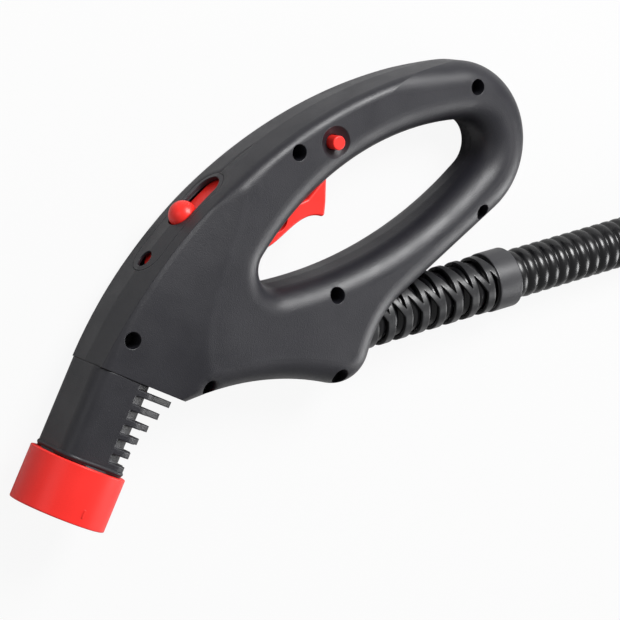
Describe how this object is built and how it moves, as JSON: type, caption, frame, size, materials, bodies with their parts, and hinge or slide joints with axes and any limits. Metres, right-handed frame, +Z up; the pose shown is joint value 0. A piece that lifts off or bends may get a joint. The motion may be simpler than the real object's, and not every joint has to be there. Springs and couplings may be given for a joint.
{
  "type": "carpet cleaner hand gun with hose",
  "caption": "Loop-handled spray gun of a carpet cleaner with trigger, lock pin, slide control, twist collar socket and coiled ribbed hose with plug.",
  "frame": {"origin": "on the floor under the middle of the gun's box, without the hose on the floor", "axes": "+X along the handle from the nozzle to the hose, +Y across it to the spine, +Z up from the side it lies on"},
  "size_m": [0.7372, 0.323, 0.0478],
  "materials": {
    "charcoal": "fine texture",
    "red": "satin",
    "dark_grey": "satin",
    "hose_black": "glossy",
    "rubber_black": "matte",
    "brass": "machined",
    "steel": "plated"
  },
  "bodies": {
    "gun": {"near_shell": "charcoal", "far_shell": "charcoal", "case_screws": "steel", "nose_tube": "charcoal", "collar_retainer": "steel", "steam_nozzle": "brass", "nozzle_seal": "rubber_black", "socket_seal": "rubber_black", "steam_tube": "rubber_black", "trigger_pin": "steel", "trigger_spring": "steel", "microswitch": "dark_grey", "switch_wires": "hose_black", "slide_bezel": "charcoal", "strain_relief_cage": "dark_grey", "cage_ring": "dark_grey", "hose_adapter": "dark_grey", "hose_root": "hose_black", "hose_run": "hose_black", "hose_coil": "hose_black", "coil_tie": "rubber_black", "plug_cuff": "dark_grey", "plug_body": "dark_grey", "plug_spigot": "brass", "plug_seal": "rubber_black", "plug_contacts": "brass"},
    "trigger": {"trigger": "red"},
    "slide": {"slide_plate": "red", "slide_knob": "red"},
    "lock": {"lock_button": "red"},
    "collar": {"lock_collar": "red"},
    "plug_button": {"plug_button": "red"}
  },
  "joints": [
    {"name": "trigger_pull", "type": "hinge", "parent": "gun", "child": "trigger", "pos_m": [-0.0063, 0.03392, 0.02055], "axis": [0.0303, 0, 0.9995], "range_deg": [0, 12], "stiffness_Nm_per_rad": 0.4, "springref_deg": -8.59},
    {"name": "knob_slide", "type": "hinge", "parent": "gun", "child": "slide", "pos_m": [0.11844, -0.14778, 0.01677], "axis": [-0.0303, 0, -0.9995], "range_deg": [0, 3.61]},
    {"name": "lock_push", "type": "slide", "parent": "gun", "child": "lock", "axis": [-0.0303, 0, -0.9995], "range_m": [0, 0.005]},
    {"name": "collar_twist", "type": "hinge", "parent": "gun", "child": "collar", "pos_m": [-0.11925, -0.09398, 0.02397], "axis": [0.446, 0.8949, -0.0135], "range_deg": [0, 45]},
    {"name": "plug_press", "type": "slide", "parent": "gun", "child": "plug_button", "axis": [0, 0, -1], "range_m": [0, 0.0018], "stiffness_N_per_m": 600, "springref_m": -0.001}
  ]
}
